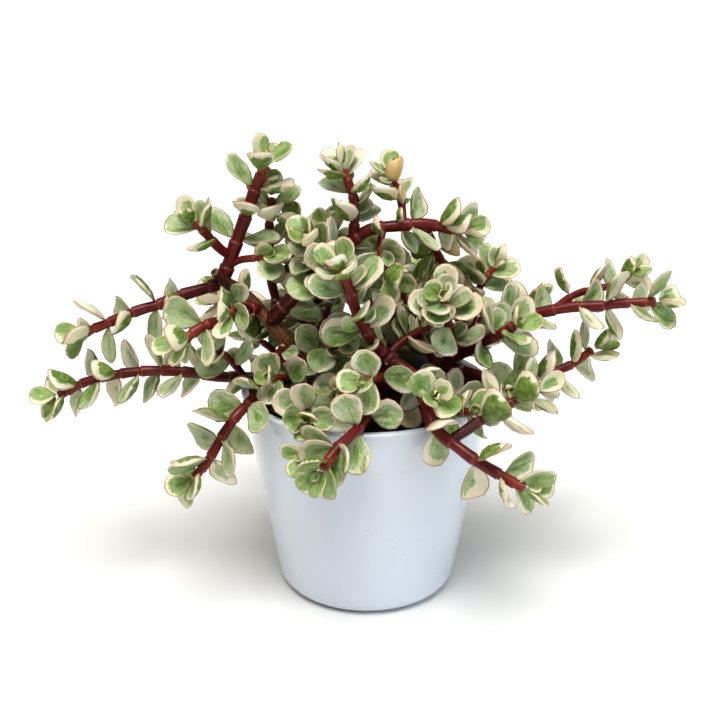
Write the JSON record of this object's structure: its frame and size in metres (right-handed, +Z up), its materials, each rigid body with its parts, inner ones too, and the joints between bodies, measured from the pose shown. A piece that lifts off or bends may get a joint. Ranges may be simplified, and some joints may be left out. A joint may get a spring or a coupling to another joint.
{
  "type": "potted elephant bush",
  "caption": "Bushy succulent with red stems and small round cream-edged green leaves, rooted in soil in a tapered round white pot.",
  "frame": {"origin": "centre of the pot's flat base", "axes": "+Z up along the pot's axis, +X along the bush's widest spread, -Y toward the side that the picture shows"},
  "size_m": [0.3718, 0.2427, 0.2723],
  "materials": {
    "pot_white": "glossy white glaze",
    "soil": "matte crumbly potting soil",
    "bark": "rough brown bark",
    "leaf": "satin green and cream leaves on glossy dark red stems"
  },
  "bodies": {
    "root": {"arch": "leaf", "arch_fall": "leaf", "arch_left_riser": "leaf", "arch_right_riser": "leaf", "arch_twig": "leaf", "arch_under": "leaf", "back_centre": "leaf", "back_fall": "leaf", "back_left": "leaf", "back_left_low": "leaf", "back_limb": "bark", "back_right": "leaf", "back_right_low": "leaf", "back_right_riser": "leaf", "back_riser": "leaf", "back_twig_left": "leaf", "back_twig_right": "leaf", "cascade_side": "leaf", "centre_front": "leaf", "centre_left": "leaf", "centre_low": "leaf", "centre_rear_riser": "leaf", "centre_twig": "leaf", "front_cascade": "leaf", "front_fall": "leaf", "front_fall_side": "leaf", "front_limb": "bark", "front_riser": "leaf", "front_rosette": "leaf", "left_fall": "leaf", "left_high_reach": "leaf", "left_low_reach": "leaf", "left_mid": "leaf", "left_mid_upper": "leaf", "left_rim_twig": "leaf", "left_rosette": "leaf", "left_tower": "leaf", "left_twig": "leaf", "left_upright": "leaf", "low_front_fill": "leaf", "low_left_fill": "leaf", "low_right_fill": "leaf", "mid_side": "leaf", "mid_twig": "leaf", "mid_upright": "leaf", "pot": "pot_white", "right_inner": "leaf", "right_limb": "bark", "right_low_reach": "leaf", "right_mid": "leaf", "right_reach": "leaf", "right_reach_side": "leaf", "right_rim_twig": "leaf", "right_riser": "leaf", "right_rosette": "leaf", "soil": "soil", "tower_foot": "leaf", "tower_side": "leaf", "trunk": "bark", "trunk_twig": "leaf"}
  },
  "joints": []
}
